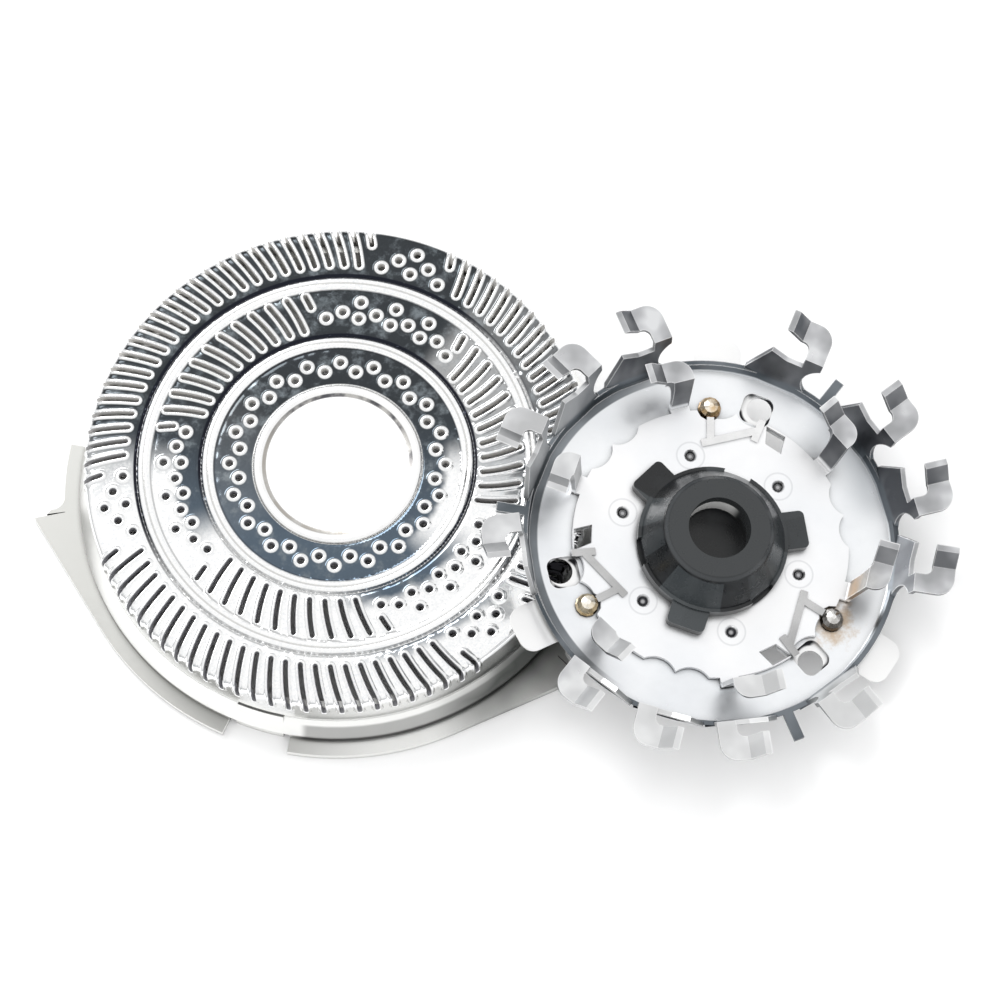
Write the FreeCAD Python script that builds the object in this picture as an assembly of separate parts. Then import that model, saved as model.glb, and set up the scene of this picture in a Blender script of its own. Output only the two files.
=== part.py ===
import FreeCAD, Part
import os
import math
from FreeCAD import Placement, Rotation, Vector

# A rotary shaver head taken apart. The guard lies face up on the table. The cutter
# lies beside it with its blades up. It leans: the rim of its drive coupling stands on
# the table and its plate rests on the guard's edge.
# Millimetres, +Z up. Each half is modelled on its own axis and then set in its place.
# Angles are in degrees, counter-clockwise as seen from above.

# Guard: foil cap
guard_height = 4.8
disc_radius = 4.0
bezel_width = 0.55
well_margin = 0.2
inner_track_width = 1.95
inner_bead_width = 0.8
middle_track_width = 2.65
outer_bead_width = 0.85
outer_track_width = 2.35
cap_shoulder = 0.45
cap_thickness = 0.4
cap_wall = 0.35
skirt_bottom = 2.0
inner_track = disc_radius + bezel_width + well_margin
inner_bead = inner_track + inner_track_width
middle_track = inner_bead + inner_bead_width
outer_bead = middle_track + middle_track_width
outer_track = outer_bead + outer_bead_width
cap_radius = outer_track + outer_track_width + cap_shoulder
bead_depth = 0.24
bead_shoulder = 0.16
bead_drop = 0.03
well_depth = 0.5
stem_radius = 1.65

# Guard: slots and holes of the three tracks
patch_angles = (70.5, 190.5, 310.5)
outer_pitch = 4.0
outer_full_slots = 24
outer_slot_margin = 0.45
outer_short_margin = 1.85
outer_slot_inner = outer_track + outer_slot_margin
outer_short_inner = outer_track + outer_short_margin
outer_slot_width = 0.3
outer_slot_slant = 17.0
outer_slot_drop = 1.3
middle_pitch = 6.0
middle_full_slots = 10
middle_slot_margin = 0.25
middle_short_margin = 1.7
middle_end_margin = 0.1
middle_slot_inner = middle_track + middle_slot_margin
middle_short_inner = middle_track + middle_short_margin
middle_slot_outer = outer_bead - middle_end_margin
middle_slot_width = 0.3
middle_slot_slant = 15.0
hole_radius = 0.24
outer_hole_rows = (outer_track + 0.64, outer_track + 1.24, outer_track + 1.82)
middle_hole_rows = (middle_track + 0.98, middle_track + 1.32, middle_track + 1.94)
inner_hole_rows = (inner_track + 0.63, inner_track + 1.11)
inner_hole_count = 40
inner_hole_start = 7.7

# Guard: centre piece
bezel_proud = 0.05
centre_gap = 0.03
stem_length = 1.1
bush_radius = 2.5
bush_height = 0.7

# Guard: eared frame
frame_gap = 0.05
frame_wall = 0.4
frame_flare = 0.55
flange_reach = 1.4
flange_radius = cap_radius + flange_reach
flange_thickness = 0.5
flange_rise = 0.35
flange_start = 168.6
notch_angle = 252.0
notch_half_width = 7.0
ear_reach = 1.7
ear_tip_radius = flange_radius + ear_reach
ear_tip_angle = 184.3
ear_root_fillet = 0.7
key_proud = 0.45
key_half_width = 5.4

# Cutter: sheet parts, heights from the top of the dish plate
sheet = 0.25
blade_height = 4.0
arm_height = 3.3
dish_inner = 6.6
dish_width = 3.25
rim_radius = dish_inner + dish_width
rim_height = 0.62
wall_slope = 74.0
wall_peak = 2.9
wall_dip = 2.55
wall_peak_at = 1.75
wall_foot_at = 2.7
wall_foot = 0.8
hook_groups = 3
hooks_per_group = 5
hook_pitch = 22.5
first_hook_angle = 34.8
flap_index = 3
arm_reach = 3.13
arm_outer = rim_radius + arm_reach
arm_width = 1.26
arm_back = 1.14
arm_front = 0.4
gap_end = 0.1
arm_corner = 0.95
arm_inner_corner = 0.42
blade_pitch = 45.0
notch_radius = 1.35
notch_centre = (1.75, 1.5)

# Cutter: middle plate and its hooks
plate_gap = 0.05
plate_overlap = 0.95
plate_radius = dish_inner + plate_overlap
plate_bore = 3.3
scallop_radius = 1.25
scallop_away = 0.8
scallop_ring = plate_radius + scallop_away
scallop_angles = (8.0, 22.0, 72.0, 86.0)
middle_hook_angles = (42.0, 107.0)
middle_root_away = 0.2
middle_root_radius = plate_radius + middle_root_away
middle_wall_slope = 79.0
middle_arm_reach = 1.8
middle_arm_outer = middle_root_radius + middle_arm_reach
middle_arm_width = 1.1
dimple_count = 6
dimple_away = 1.73
dimple_ring = plate_bore + dimple_away
dimple_radius = 0.36
dimple_depth = 0.16
first_dimple = 42.5

# Cutter: plate under the dish, springs and rivets
underlay_thickness = 0.12
underlay_set_in = 0.1
underlay_margin = 0.25
underlay_inner = dish_inner + underlay_set_in
underlay_outer = rim_radius - underlay_margin
flap_length = 2.25
flap_reach = underlay_outer + flap_length
flap_width = 2.6
flap_corner = 0.8
window_away = 1.6
window_ring = dish_inner + window_away
window_angles = (71.5, 193.5, 312.0)
window_size = 1.7
window_corner = 0.5
window_hole = 0.7
window_hole_shift = 0.15
relief_away = 0.4
relief_ring = dish_inner + relief_away
relief_clear = 6.5
relief_span = 12.0
relief_angle = scallop_angles[2] - relief_clear - relief_span / 2
relief_depth = 0.95
rivet_away = 1.1
rivet_ring = dish_inner + rivet_away
rivet_angles = (90.0, 209.0, 329.2)
rivet_head = 0.64
rivet_shank = 0.3
spring_width = 0.4
spring_thickness = 0.12
spring_eye = 0.5
spring_near_inset = 1.9
spring_far_inset = 0.55
spring_near_turn = 5.0
spring_far_turn = -22.0
spring_foot_length = 1.3
spring_link_inner = plate_radius - spring_near_inset
tab_angles = (53.0, 173.0, 293.5)
tab_width = 0.55
tab_length = 1.95
tab_reach = rim_radius + tab_length

# Cutter: centre hub and drive coupling
hub_base = 4.1
hub_base_height = 0.75
hub_top = 3.0
hub_height = 2.85
hub_bevel = 0.25
socket_radius = 1.7
socket_depth = 2.3
lug_away = 1.1
lug_reach = hub_base + lug_away
lug_width = 2.1
lug_height = 0.6
lug_corner = 0.3
lug_angles = (10.0, 135.0, 252.5)
facet_angles = (70.0, 192.0, 312.0)
facet_width = 1.5
facet_depth = 0.25
boss_drop = 0.37
coupling_flange = 4.4
coupling_flange_height = 0.6
coupling_radius = 2.6
coupling_drop = 2.95
drive_bore = 1.3
drive_bore_depth = 2.2
coupling_rib = 0.5

# Small round features are drawn with a few flat sides
small_sides = 6
mid_sides = 12

# Layout of the two halves
guard_to_cutter = 20.6
cutter_direction = -13.0
rest_gap = 0.05

UP = Vector(0, 0, 1)
ORIGIN = Vector(0, 0, 0)


def polar(radius, angle, z=0.0):
    """Point at a radius and an angle in degrees."""
    turn = math.radians(angle)
    return Vector(radius * math.cos(turn), radius * math.sin(turn), z)


def ring(outer, inner, low, high):
    """Flat ring between two radii and two heights."""
    body = Part.makeCylinder(outer, high - low, Vector(0, 0, low))
    if inner <= 0:
        return body
    return body.cut(Part.makeCylinder(inner, high - low + 0.2, Vector(0, 0, low - 0.1)))


def revolve(points):
    """Solid of revolution about Z from (radius, height) points."""
    loop = [Vector(r, 0, z) for r, z in points]
    face = Part.Face(Part.makePolygon(loop + [loop[0]]))
    return face.revolve(ORIGIN, UP, 360)


def prism(outline, low, high):
    """Vertical prism over a closed list of points."""
    loop = [Vector(p.x, p.y, low) for p in outline]
    face = Part.Face(Part.makePolygon(loop + [loop[0]]))
    return face.extrude(Vector(0, 0, high - low))


def many_sided(radius, centre, low, high, sides):
    """Upright prism with a few flat sides, in place of a small round one."""
    corners = [centre + polar(radius, 360.0 * (i + 0.5) / sides) for i in range(sides)]
    return prism(corners, low, high)


def stacked(levels, centre, sides):
    """Many-sided solid over (radius, height) levels, for a small turned part."""
    loops = [[centre + polar(r, 360.0 * i / sides, z) for i in range(sides)] for r, z in levels]
    faces = [Part.Face(Part.makePolygon(loop + [loop[0]])) for loop in (loops[0], loops[-1])]
    for below, above in zip(loops, loops[1:]):
        for i in range(sides):
            j = (i + 1) % sides
            corners = [below[i], below[j], above[j], above[i], below[i]]
            faces.append(Part.Face(Part.makePolygon(corners)))
    body = Part.Solid(Part.Shell(faces))
    if body.Volume < 0:
        body.reverse()
    return body


def rounded_prism(outline, radii, low, high):
    """Vertical prism over a polygon whose corners are rounded one by one."""
    count = len(outline)
    edges = []
    ends = []
    for i in range(count):
        corner = Vector(outline[i].x, outline[i].y, low)
        before = Vector(outline[i - 1].x, outline[i - 1].y, low)
        after = Vector(outline[(i + 1) % count].x, outline[(i + 1) % count].y, low)
        radius = radii[i]
        if radius <= 0:
            ends.append((corner, corner, None))
            continue
        to_before = (before - corner).normalize()
        to_after = (after - corner).normalize()
        half = to_before.getAngle(to_after) / 2
        trim = radius / math.tan(half)
        bisector = (to_before + to_after).normalize()
        middle = corner + bisector * (radius / math.sin(half) - radius)
        ends.append((corner + to_before * trim, corner + to_after * trim, middle))
    for i in range(count):
        start, end, middle = ends[i]
        if middle is not None:
            edges.append(Part.Arc(start, middle, end).toShape())
        following = ends[(i + 1) % count][0]
        if end.distanceToPoint(following) > 1e-6:
            edges.append(Part.LineSegment(end, following).toShape())
    face = Part.Face(Part.Wire(edges))
    return face.extrude(Vector(0, 0, high - low))


def turned(shape, angle):
    """Copy turned about Z."""
    copy = shape.copy()
    copy.rotate(ORIGIN, UP, angle)
    return copy


def bead_profile(inner, outer, top):
    """Outer line of the rounded bead that lies in the groove between two tracks."""
    low = top - bead_depth
    return [
        (inner, top),
        (inner + bead_shoulder / 2, low),
        ((inner + outer) / 2, top - bead_drop),
        (outer - bead_shoulder / 2, low),
        (outer, top),
    ]


def cap_blank():
    """Drawn cap: three flat tracks with beads between them, a centre well and a skirt."""
    top = guard_height
    well = top - well_depth
    under = top - cap_thickness
    inner_wall = cap_radius - cap_wall
    points = [(stem_radius, well), (inner_track, well), (inner_track, top)]
    points += bead_profile(inner_bead, middle_track, top)
    points += bead_profile(outer_bead, outer_track, top)
    points += [
        (cap_radius - cap_shoulder, top),
        (cap_radius, top - cap_shoulder),
        (cap_radius, skirt_bottom),
        (inner_wall, skirt_bottom),
        (inner_wall, under),
        (inner_track + cap_wall, under),
        (inner_track + cap_wall, well - cap_thickness),
        (stem_radius, well - cap_thickness),
    ]
    return revolve(points)


def slot_cutter(inner, outer, width, slant, angle, low):
    """Slanted slot tool: its inner end stands at the given angle."""
    length = outer - inner
    tool = Part.makeBox(length, width, guard_height + 0.5 - low, Vector(0, -width / 2, low))
    tool.rotate(ORIGIN, UP, slant)
    tool.translate(Vector(inner, 0, 0))
    return turned(tool, angle)


def slot_angles(centre, pitch, full_count):
    """Inner-end angles of one group: the first and last belong to short slots."""
    gap = 360.0 / len(patch_angles) - (full_count + 1) * pitch
    first = centre + gap / 2
    return [first + pitch * i for i in range(full_count + 2)]


def track_slots(pitch, full_count, inner, short_inner, outer, width, slant, low):
    """All slot tools of one track, with a short slot at each end of a group."""
    tools = []
    for centre in patch_angles:
        angles = slot_angles(centre, pitch, full_count)
        for i, angle in enumerate(angles):
            short = i in (0, len(angles) - 1)
            start = short_inner if short else inner
            reach = (outer - start) / math.cos(math.radians(slant))
            drift = math.degrees((start - inner) * math.tan(math.radians(slant)) / start)
            tools.append(slot_cutter(start, start + reach, width, slant, angle + drift, low))
    return tools


def hole_tool(radius, angle):
    """Round hole through a track."""
    low = guard_height - cap_thickness - 0.4
    return many_sided(hole_radius, polar(radius, angle), low, guard_height + 0.2, small_sides)


def patch_holes(pitch, columns):
    """Hole tools of one track: each column lists the radii of its holes."""
    tools = []
    half = len(columns) // 2
    for centre in patch_angles:
        for i, radii in enumerate(columns):
            angle = centre + pitch * (i - half)
            tools += [hole_tool(radius, angle) for radius in radii]
    return tools


def guard_holes():
    """Every round hole of the guard."""
    low, mid, high = outer_hole_rows
    tools = patch_holes(outer_pitch, [(low,), (mid,), (low, high), (mid,), (low,)])
    low, mid, high = middle_hole_rows
    side = [(low,), (mid,), (low, high), (mid,)]
    tools += patch_holes(middle_pitch, side + [(low, high)] + side[::-1])
    step = 360.0 / inner_hole_count
    for i in range(inner_hole_count):
        tools.append(hole_tool(inner_hole_rows[i % 2], inner_hole_start + step * i))
    return tools


def guard_cap():
    """Foil cap with its slots and holes."""
    tools = track_slots(
        outer_pitch, outer_full_slots, outer_slot_inner, outer_short_inner,
        cap_radius + 0.5, outer_slot_width, outer_slot_slant, guard_height - outer_slot_drop,
    )
    tools += track_slots(
        middle_pitch, middle_full_slots, middle_slot_inner, middle_short_inner,
        middle_slot_outer, middle_slot_width, middle_slot_slant,
        guard_height - cap_thickness - 0.2,
    )
    return cap_blank().cut(tools + guard_holes())


def centre_bezel():
    """Ring that frames the disc in the cap's well."""
    outer = disc_radius + bezel_width
    low = guard_height - well_depth
    high = guard_height + bezel_proud
    body = ring(outer, disc_radius + centre_gap, low, high)
    rims = [e for e in body.Edges if abs(e.BoundBox.ZMax - high) < 1e-6 and e.BoundBox.ZLength < 1e-6]
    return body.makeChamfer(bezel_proud * 1.5, rims)


def centre_disc():
    """Plain cover disc with the stem that holds it through the cap."""
    low = guard_height - well_depth
    disc = ring(disc_radius, 0, low, guard_height)
    shaft = ring(stem_radius - centre_gap, 0, low - cap_thickness - stem_length, low)
    return disc.fuse(shaft).removeSplitter()


def centring_bush():
    """Bush on the stem, under the cap, that centres the cutter in use."""
    high = guard_height - well_depth - cap_thickness - centre_gap
    return ring(bush_radius, stem_radius, high - bush_height, high)


def ear(mirror):
    """One pointed ear of the flange, tangent to its rim on the notch side."""
    tip = polar(ear_tip_radius, ear_tip_angle)
    tangent = ear_tip_angle + math.degrees(math.acos(flange_radius / ear_tip_radius))
    touch = polar(flange_radius, tangent)
    middle = polar(flange_radius - 1.2, (tangent + ear_tip_angle) / 2)
    root = polar(flange_radius - 0.6, ear_tip_angle - 1.0)
    web = prism([tip, touch, middle, root], 0, flange_thickness)
    fillet_centre = polar(flange_radius + ear_root_fillet, ear_tip_angle - 4.0)
    shoulder = polar(flange_radius + 1.0, ear_tip_angle - 0.6)
    back = polar(flange_radius - 0.3, ear_tip_angle - 5.0)
    heel = prism([root, shoulder, back], 0, flange_thickness)
    scoop = Part.makeCylinder(ear_root_fillet, 2, fillet_centre + Vector(0, 0, -0.5))
    shape = web.fuse(heel.cut(scoop))
    if mirror:
        axis = polar(1, notch_angle + 90)
        shape = shape.mirror(ORIGIN, axis)
    return shape


def sector(start, end, radius, low, high):
    """Pie slice used to keep or to cut a range of angles."""
    steps = max(2, int(math.ceil((end - start) / 60.0)))
    reach = radius / math.cos(math.radians((end - start) / steps / 2))
    rim = [polar(reach, start + (end - start) * i / steps) for i in range(steps + 1)]
    return prism([ORIGIN] + rim, low, high)


def eared_frame():
    """Frame under the cap: a flared wall, a flange with two ears and a key in the notch."""
    wall_top = skirt_bottom - frame_gap
    wall_outer = cap_radius - cap_wall
    foot_outer = cap_radius + frame_flare
    foot = flange_thickness + flange_rise
    spigot = wall_outer - frame_gap
    wall = revolve([
        (spigot - frame_wall, 0),
        (foot_outer, 0),
        (foot_outer, foot),
        (wall_outer + frame_wall / 2, wall_top),
        (spigot, wall_top),
        (spigot, wall_top + 1.2),
        (spigot - frame_wall, wall_top + 1.2),
    ])
    flange = ring(flange_radius, foot_outer - 0.3, 0, flange_thickness)
    flange_end = 2 * notch_angle - flange_start
    flange = flange.common(sector(flange_start, flange_end, 20, -1, 2))
    frame = wall.fuse([flange, ear(False), ear(True)])
    notch = sector(notch_angle - notch_half_width, notch_angle + notch_half_width, 20, -1, foot)
    frame = frame.cut(notch.cut(ring(cap_radius + key_proud / 2, 0, -2, 3)))
    key = revolve([
        (spigot - frame_wall / 2, 0),
        (cap_radius + key_proud, 0),
        (cap_radius + key_proud, flange_thickness),
        (cap_radius, wall_top),
        (spigot - frame_wall / 2, wall_top),
    ])
    key = key.common(sector(notch_angle - key_half_width, notch_angle + key_half_width, 20, -1, 4))
    return frame.fuse(key).removeSplitter()


def sheet_profile(root, base_top, height, slope, outer):
    """Section of a sheet turned up into a steep wall and then out into a flat brim."""
    lean = math.tan(math.radians(slope))
    across = sheet / math.sin(math.radians(slope))
    ridge = root + (height - base_top) / lean
    under = root + across + (height - sheet - base_top) / lean
    return [
        (root - 0.1, base_top - sheet),
        (root + across - sheet / lean, base_top - sheet),
        (under, height - sheet),
        (outer, height - sheet),
        (outer, height),
        (ridge, height),
        (root, base_top),
        (root - 0.1, base_top),
    ]


def straight_sheet(profile, half_length):
    """The same section run straight along Y: each hook is bent from a flat tongue."""
    loop = [Vector(x, -half_length, z) for x, z in profile]
    face = Part.Face(Part.makePolygon(loop + [loop[0]]))
    return face.extrude(Vector(0, 2 * half_length, 0))


def side_prism(points, near, far):
    """Prism along +X over a closed outline of (Y, Z) points."""
    loop = [Vector(near, y, z) for y, z in points]
    face = Part.Face(Part.makePolygon(loop + [loop[0]]))
    return face.extrude(Vector(far - near, 0, 0))


def hook_plan(near, outer, width):
    """Plan of a hook's neck and arm, as a prism: the arm runs back counter-clockwise."""
    inner = outer - width
    outline = [
        Vector(near, -arm_back, 0),
        Vector(outer, -arm_back, 0),
        Vector(outer, arm_front, 0),
        Vector(inner, arm_front, 0),
        Vector(inner, -gap_end, 0),
        Vector(near, -gap_end, 0),
    ]
    corner = min(arm_inner_corner, (arm_front + gap_end) * 0.9)
    radii = [0, min(arm_corner, width * 0.8), 0, 0, corner, 0]
    return rounded_prism(outline, radii, 0.2, arm_height + 0.5)


def wall_panel(near, far, low):
    """Wall that carries a hook, seen square on: it peaks behind the arm and ramps down."""
    points = [
        (-gap_end - 0.25, low),
        (-gap_end - 0.25, wall_dip),
        (wall_peak_at * 0.45, wall_dip),
        (wall_peak_at, wall_peak),
        (wall_foot_at, wall_foot),
        (wall_foot_at, low),
    ]
    return side_prism(points, near, far)


def blade(outer, width):
    """Blade at the arm's free end: it rises to the cutting plane and is ground flat there."""
    rise = math.tan(math.radians(blade_pitch))
    over = blade_height + sheet
    run = (over - arm_height) / rise
    thick = sheet / math.sin(math.radians(blade_pitch))
    points = [
        (arm_front - 0.03, arm_height - sheet),
        (arm_front - 0.03, arm_height),
        (arm_front, arm_height),
        (arm_front + run, over),
        (arm_front + run + thick, over),
        (arm_front + thick - sheet / rise, arm_height - sheet),
    ]
    flap = side_prism(points, outer - width, outer)
    size = 2 * outer
    return flap.cut(Part.makeBox(2 * size, 2 * size, size, Vector(-size, -size, blade_height)))


def one_hook(formed, root, base_top, slope, outer, width, wall):
    """One hook on +X, cut from the formed sheet, with its blade."""
    ridge = root + (arm_height - base_top) / math.tan(math.radians(slope))
    plan = hook_plan(root - 0.05, outer, width)
    neck = formed.common(plan)
    along, up = notch_centre
    if wall:
        scoop = Part.makeCylinder(notch_radius, 6, Vector(root - 1, -along, up), Vector(1, 0, 0))
        neck = neck.cut(scoop)
        panel = wall_panel(root - 0.4, ridge + 0.35, base_top - 0.1)
        neck = neck.fuse(formed.common(panel))
    return neck.fuse(blade(outer, width))


def hook_angles():
    """Centre angles of the twelve outer hooks: each group leaves one place to a flap."""
    turn = 360.0 / hook_groups
    return [
        first_hook_angle - hook_pitch * i + turn * group
        for group in range(hook_groups)
        for i in range(hooks_per_group)
        if i != flap_index
    ]


def flap_angles():
    """Centre angles of the three plain flaps that stand in the hooks' row."""
    turn = 360.0 / hook_groups
    return [first_hook_angle - hook_pitch * flap_index + turn * group for group in range(hook_groups)]


def dish_openings():
    """Holes of the dish plate: rounded windows and rivet holes."""
    tools = []
    half = window_size / 2
    corners = [(-half, -half), (half, -half), (half, half), (-half, half)]
    outline = [Vector(x + window_ring, y, 0) for x, y in corners]
    for angle in window_angles:
        tools.append(turned(rounded_prism(outline, [window_corner] * 4, -1, 1), angle))
    return tools + shank_holes() + reliefs()


def shank_holes():
    """Clearance holes for the three rivets' shanks."""
    radius = rivet_shank + 0.02
    return [many_sided(radius, polar(rivet_ring, a), -1, 1, small_sides) for a in rivet_angles]


def reliefs():
    """Three slanted openings through the plates, beside the springs."""
    tools = []
    outer = relief_ring + relief_depth / 2
    inner = relief_ring - relief_depth / 2
    for i in range(3):
        start = relief_angle - relief_span / 2 + 120 * i
        end = start + relief_span
        near = [polar(inner, start), polar(outer, start + 3)]
        corners = near + [polar(outer, end), polar(inner, end - 3)]
        tools.append(prism(corners, -1, 1))
    return tools


def outer_cutter():
    """Dished plate with its rim and twelve hooked blades, formed from one sheet."""
    profile = sheet_profile(rim_radius, 0, arm_height, wall_slope, arm_outer + 1)
    rim = revolve(profile).common(ring(20, 0, -1, rim_height))
    tongue = straight_sheet(profile, 5)
    hook = one_hook(tongue, rim_radius, 0, wall_slope, arm_outer, arm_width, True)
    middle = (wall_foot_at - arm_back) / 2
    sag = (wall_foot_at - middle) ** 2 / (2 * rim_radius)
    hook.translate(Vector(-sag / 3, -middle, 0))
    shift = math.degrees(math.atan2(middle, (rim_radius + arm_outer) / 2))
    hooks = [turned(hook, angle + shift) for angle in hook_angles()]
    rim_reach = rim_radius + rim_height / math.tan(math.radians(wall_slope)) + 0.1
    tabs = []
    for angle in tab_angles:
        place = Vector(rim_reach, -tab_width / 2, rim_height - sheet)
        flat = Part.makeBox(tab_reach - rim_reach, tab_width, sheet, place)
        tabs.append(turned(flat, angle))
    plate = ring(rim_radius - 0.05, dish_inner, -sheet, 0).cut(dish_openings())
    return plate.fuse([rim] + hooks + tabs).removeSplitter()


def middle_angles():
    """Centre angles of the six hooks of the middle plate."""
    return [angle + 120 * i for i in range(3) for angle in middle_hook_angles]


def middle_cutter():
    """Scalloped plate with six hooked blades for the middle track."""
    low = plate_gap
    high = plate_gap + sheet
    root = middle_root_radius
    slope = middle_wall_slope
    profile = sheet_profile(root, high, arm_height, slope, middle_arm_outer + 1)
    tongue = straight_sheet(profile, 3)
    hook = one_hook(tongue, root, high, slope, middle_arm_outer, middle_arm_width, False)
    reach = root - plate_radius + 0.6
    width = arm_back - gap_end
    corner = Vector(root - reach + 0.1, -arm_back, low)
    hook = hook.fuse(Part.makeBox(reach, width, sheet, corner))
    hooks = [turned(hook, angle) for angle in middle_angles()]
    plate = ring(plate_radius, plate_bore, low, high)
    scallops = [
        Part.makeCylinder(scallop_radius, 2, polar(scallop_ring, angle + 120 * i, -0.5))
        for i in range(3) for angle in scallop_angles
    ]
    holes = []
    for i in range(dimple_count):
        place = polar(dimple_ring, first_dimple + 60 * i)
        levels = [(dimple_radius * 0.5, high - dimple_depth), (dimple_radius, high + 0.001)]
        holes.append(stacked(levels, place, mid_sides))
    for angle in rivet_angles:
        holes.append(many_sided(rivet_head + 0.1, polar(rivet_ring, angle), -1, 1, mid_sides))
    holes += reliefs()
    return plate.cut(scallops).fuse(hooks).cut(holes).removeSplitter()


def underlay():
    """Thin plate under the dish: round holes behind the windows and three plain flaps."""
    high = -sheet
    low = high - underlay_thickness
    body = ring(underlay_outer, underlay_inner, low, high)
    half = flap_width / 2
    start = underlay_outer - 0.6
    outline = [
        Vector(start, -half, 0), Vector(flap_reach, -half, 0),
        Vector(flap_reach, half, 0), Vector(start, half, 0),
    ]
    flap = rounded_prism(outline, [0, flap_corner, flap_corner, 0], low, high)
    flaps = [turned(flap, angle) for angle in flap_angles()]
    tools = []
    for angle in window_angles:
        place = polar(window_ring + window_hole_shift, angle - window_hole_shift * 7)
        tools.append(many_sided(window_hole, place, -1, 1, 2 * mid_sides))
    return body.fuse(flaps).cut(tools + shank_holes() + reliefs()).removeSplitter()


def rivet(angle):
    """Domed rivet that holds a spring's eye to the dish and the plate under it."""
    centre = polar(rivet_ring, angle)
    levels = [
        (rivet_head, spring_thickness),
        (rivet_head * 0.9, spring_thickness + rivet_head * 0.42),
        (rivet_head * 0.6, spring_thickness + rivet_head * 0.8),
        (rivet_head * 0.2, spring_thickness + rivet_head * 0.98),
    ]
    head = stacked(levels, centre, mid_sides)
    foot = -sheet - underlay_thickness
    shank = many_sided(rivet_shank, centre, foot, spring_thickness + 0.1, small_sides)
    return head.fuse(shank).removeSplitter()


def spring(angle):
    """Leaf spring: an eye under the rivet, a step up, a link and a strip on the plate."""
    low = plate_gap + sheet
    high = low + spring_thickness
    half = spring_width / 2
    edge = rivet_ring - rivet_head - 0.05
    foot = Part.makeBox(rivet_ring - edge, spring_width, spring_thickness, Vector(edge, -half, 0))
    step = Part.makeBox(spring_thickness, spring_width, high, Vector(edge, -half, 0))
    length = edge + spring_thickness - spring_link_inner
    link = Part.makeBox(length, spring_width, spring_thickness, Vector(spring_link_inner, -half, low))
    arm = turned(foot.fuse([step, link]), angle)
    eye = many_sided(spring_eye, polar(rivet_ring, angle), 0, spring_thickness, mid_sides)
    near = polar(spring_link_inner, angle + spring_near_turn, low)
    far = polar(plate_radius - spring_far_inset, angle + spring_far_turn, low)
    run = far - near
    strip = Part.makeBox(run.Length, spring_width, spring_thickness, Vector(0, -half, 0))
    strip.rotate(ORIGIN, UP, math.degrees(math.atan2(run.y, run.x)))
    strip.translate(near)
    corner = Vector(math.hypot(far.x, far.y) - spring_foot_length / 2, -half, low)
    cross = Part.makeBox(spring_foot_length, spring_width, spring_thickness, corner)
    cross = turned(cross, angle + spring_far_turn)
    bore = many_sided(rivet_shank + 0.01, polar(rivet_ring, angle), -1, 1, small_sides)
    return strip.fuse([arm, eye, cross]).cut(bore).removeSplitter()


def centre_hub():
    """Black hub: a base with three lugs, a tapered body and a blind bore for the stem."""
    low = plate_gap + sheet
    base = ring(hub_base, 0, low, low + hub_base_height)
    lugs = []
    for angle in lug_angles:
        half = lug_width / 2
        outline = [
            Vector(1, -half, 0), Vector(lug_reach, -half, 0),
            Vector(lug_reach, half, 0), Vector(1, half, 0),
        ]
        lug = rounded_prism(outline, [0, lug_corner, lug_corner, 0], low, low + lug_height)
        lugs.append(turned(lug, angle))
    body = revolve([
        (0, low),
        (hub_base, low),
        (hub_base, low + hub_base_height / 2),
        (hub_top, low + hub_height - hub_bevel),
        (hub_top - hub_bevel, low + hub_height),
        (0, low + hub_height),
    ])
    facets = []
    for angle in facet_angles:
        corner = Vector(hub_base - facet_depth, -facet_width / 2, low + 0.2)
        facets.append(turned(Part.makeBox(2, facet_width, 2, corner), angle))
    floor = Vector(0, 0, low + hub_height - socket_depth)
    socket = Part.makeCylinder(socket_radius, socket_depth + 1, floor)
    boss = ring(plate_bore - 0.03, 0, -boss_drop, low)
    hub = base.fuse(lugs + [body, boss]).cut(facets + [socket])
    return hub.removeSplitter()


def drive_coupling():
    """Coupling on the back of the hub: a flange, a ribbed boss and the drive bore."""
    top = -boss_drop
    foot = top - coupling_drop
    flange = ring(coupling_flange, 0, top - coupling_flange_height, top)
    boss = ring(coupling_radius, 0, foot, top)
    ribs = []
    for angle in lug_angles:
        reach = coupling_flange - 0.3
        deep = coupling_drop * 0.6
        corner = Vector(0, -coupling_rib / 2, top - deep)
        ribs.append(turned(Part.makeBox(reach, coupling_rib, deep, corner), angle))
    bore = Part.makeCylinder(drive_bore, drive_bore_depth, Vector(0, 0, foot))
    return flange.fuse([boss] + ribs).cut(bore).removeSplitter()


def guard_parts():
    """Named solids of the guard, on its own axis."""
    return {
        "guard_cap": guard_cap(),
        "centre_bezel": centre_bezel(),
        "centre_disc": centre_disc(),
        "centring_bush": centring_bush(),
        "eared_frame": eared_frame(),
    }


def cutter_parts():
    """Named solids of the cutter, on its own axis."""
    parts = {
        "outer_cutter": outer_cutter(),
        "middle_cutter": middle_cutter(),
        "underlay_plate": underlay(),
        "centre_hub": centre_hub(),
        "drive_coupling": drive_coupling(),
    }
    for i, angle in enumerate(rivet_angles):
        parts["rivet_%d" % (i + 1)] = rivet(angle)
        parts["float_spring_%d" % (i + 1)] = spring(angle)
    return parts


def edge_clearance(lean):
    """Height of the leaning plate's underside over the guard's top edge."""
    tilt = math.radians(lean)
    depth = boss_drop + coupling_drop
    centre = depth * math.cos(tilt) + coupling_radius * math.sin(tilt)
    under = sheet + underlay_thickness
    edge = cap_radius - cap_shoulder
    away = (guard_to_cutter - edge - under * math.sin(tilt)) / math.cos(tilt)
    return centre - under * math.cos(tilt) + away * math.sin(tilt) - guard_height


def lean_angle():
    """Lean at which the plate just clears the guard's edge, found by halving."""
    low = 0.0
    high = 40.0
    for _ in range(60):
        middle = (low + high) / 2
        if edge_clearance(middle) < rest_gap:
            low = middle
        else:
            high = middle
    return high


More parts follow.
